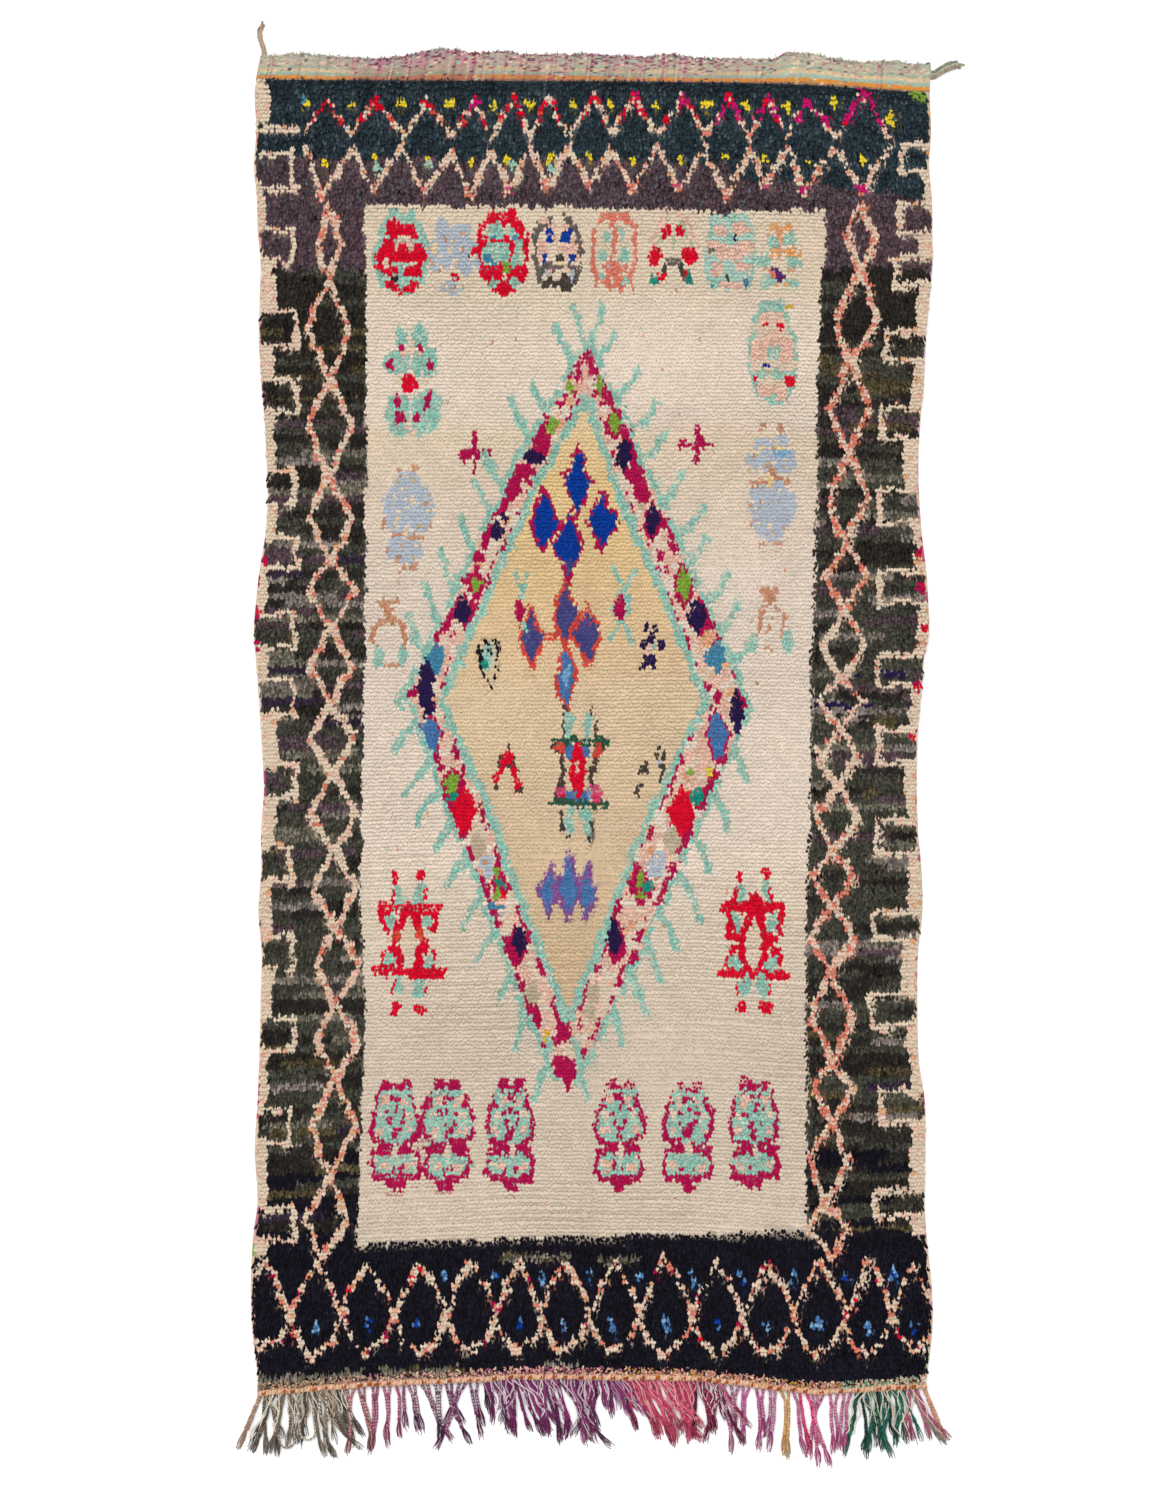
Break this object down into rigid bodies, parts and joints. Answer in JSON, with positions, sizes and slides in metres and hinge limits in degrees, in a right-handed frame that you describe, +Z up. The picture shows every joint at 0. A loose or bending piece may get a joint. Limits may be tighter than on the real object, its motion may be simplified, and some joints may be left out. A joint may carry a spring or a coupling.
{
  "type": "hand-knotted pile rug",
  "caption": "Flat hand-knotted rug with ribbed rows of pile, flat-woven heading, selvedges, a twined foot cord with loose fringe, and a tail of cords at each upper corner.",
  "frame": {"origin": "on the floor under the middle of the whole rug's box, fringe and corner tails included", "axes": "+X across the rug, to the right as it is looked at from above with the heading at the top; +Y along it, from the fringed foot to the heading; +Z up from the floor"},
  "size_m": [1.6306, 3.2488, 0.0136],
  "materials": {
    "rug_wool": "cut wool and mixed rag yarn, matt with a faint sheen, cream field with many dyed colours",
    "fringe_yarn": "twisted wool warp yarn, matt, dyed plum, mauve, rose and grey",
    "tail_yarn": "plied wool cords, matt, salmon and tan"
  },
  "bodies": {
    "root": {"rug": "rug_wool", "fringe": "fringe_yarn", "corner_tail_left": "tail_yarn", "corner_tail_right": "tail_yarn"}
  },
  "joints": []
}
